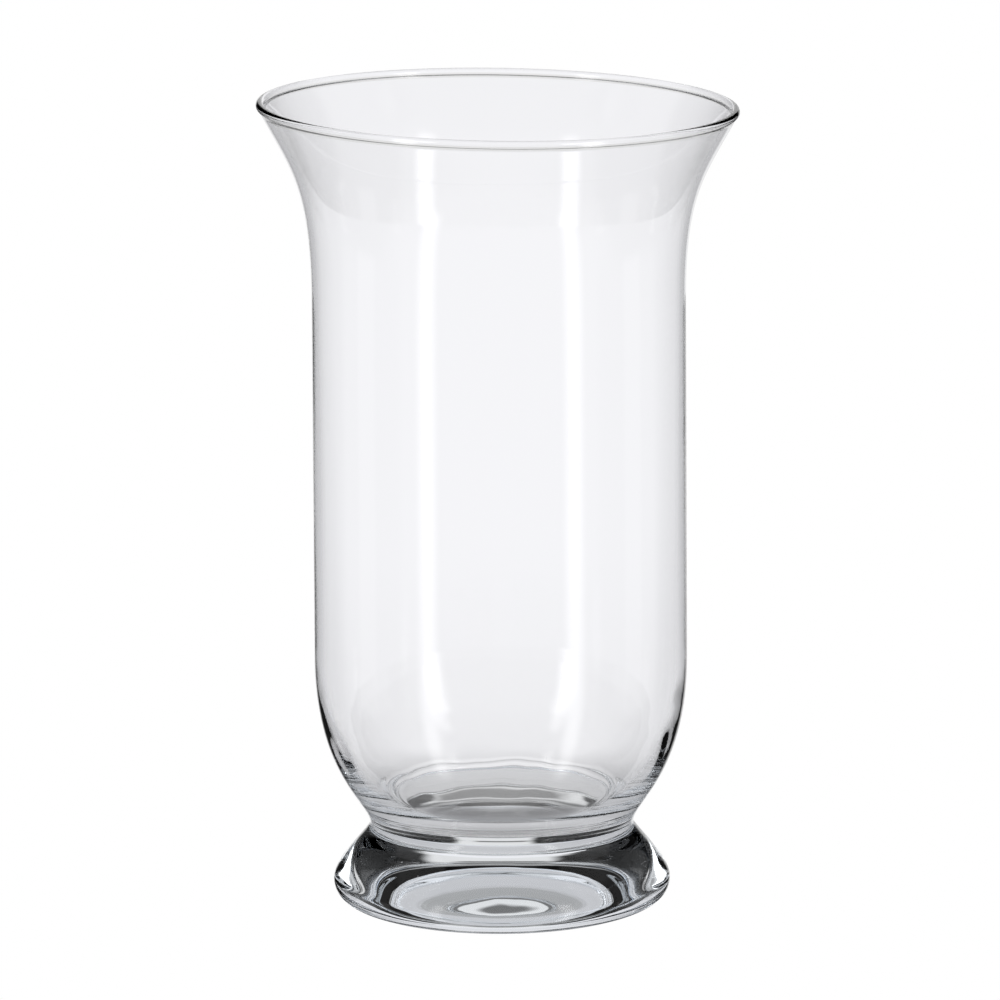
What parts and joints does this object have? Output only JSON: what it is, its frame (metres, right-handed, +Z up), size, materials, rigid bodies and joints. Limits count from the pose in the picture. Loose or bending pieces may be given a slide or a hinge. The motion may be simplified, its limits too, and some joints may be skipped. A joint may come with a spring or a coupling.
{
  "type": "footed glass vase",
  "caption": "Clear glass vase with a tall straight bowl, a flared round-lipped mouth and a solid round foot fused on at a narrow neck.",
  "frame": {"origin": "centre of the ring that the foot stands on, in the plane of the table", "axes": "+Z up along the axis of turning; the vase is round, so +X and +Y are any two level directions"},
  "size_m": [0.1656, 0.1656, 0.28],
  "materials": {
    "bowl_glass": "clear blown glass, fire polished, with faint ripples",
    "foot_glass": "clear pressed glass, fire polished, slightly cool in the thick edge"
  },
  "bodies": {
    "root": {"bowl": "bowl_glass", "foot": "foot_glass"}
  },
  "joints": []
}
